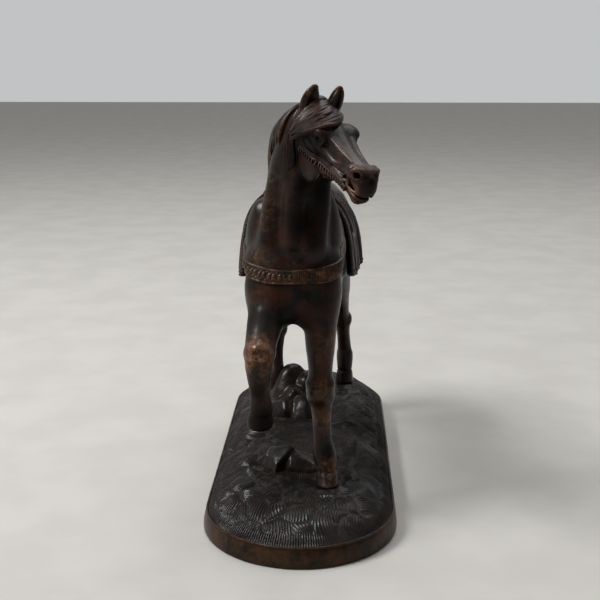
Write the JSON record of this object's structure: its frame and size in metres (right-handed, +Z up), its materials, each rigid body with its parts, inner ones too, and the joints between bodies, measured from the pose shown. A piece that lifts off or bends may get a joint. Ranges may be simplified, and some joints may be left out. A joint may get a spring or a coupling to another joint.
{
  "type": "bronze horse statuette",
  "caption": "Cast bronze horse in harness, one foreleg lifted, stepping over rocks and engraved grass on a round-ended base.",
  "frame": {"origin": "centre of the base's outline, on the surface it stands on", "axes": "+Z up, the horse faces -Y, +X is the horse's left side"},
  "size_m": [0.12, 0.316, 0.2692],
  "materials": {
    "horse_patina": "dark brown chemical patina on cast bronze, waxed, satin",
    "worn_patina": "brown patina worn through to copper-brown metal on the high points",
    "hair_patina": "dark brown patina in chased strands",
    "tack_patina": "dark brown patina with rubbed beads and edges",
    "ground_patina": "blackish brown patina over engraved grass",
    "band_patina": "mottled golden brown and black, rubbed",
    "bare_brass": "turned brass, dull"
  },
  "bodies": {
    "root": {"plinth_band": "band_patina", "ground_casting": "ground_patina", "front_rock": "ground_patina", "rear_rock": "ground_patina", "barrel": "horse_patina", "neck": "horse_patina", "head": "horse_patina", "left_ear": "worn_patina", "right_ear": "worn_patina", "mane": "hair_patina", "forelock": "worn_patina", "left_foreleg": "horse_patina", "right_foreleg": "worn_patina", "left_hind_leg": "horse_patina", "right_hind_leg": "horse_patina", "tail": "hair_patina", "saddle_cloth": "tack_patina", "saddle": "tack_patina", "girth": "tack_patina", "breast_collar": "tack_patina", "bridle": "tack_patina", "bit_rings": "tack_patina", "hoof_studs": "bare_brass", "stud_washers": "bare_brass", "stud_nuts": "bare_brass"}
  },
  "joints": []
}
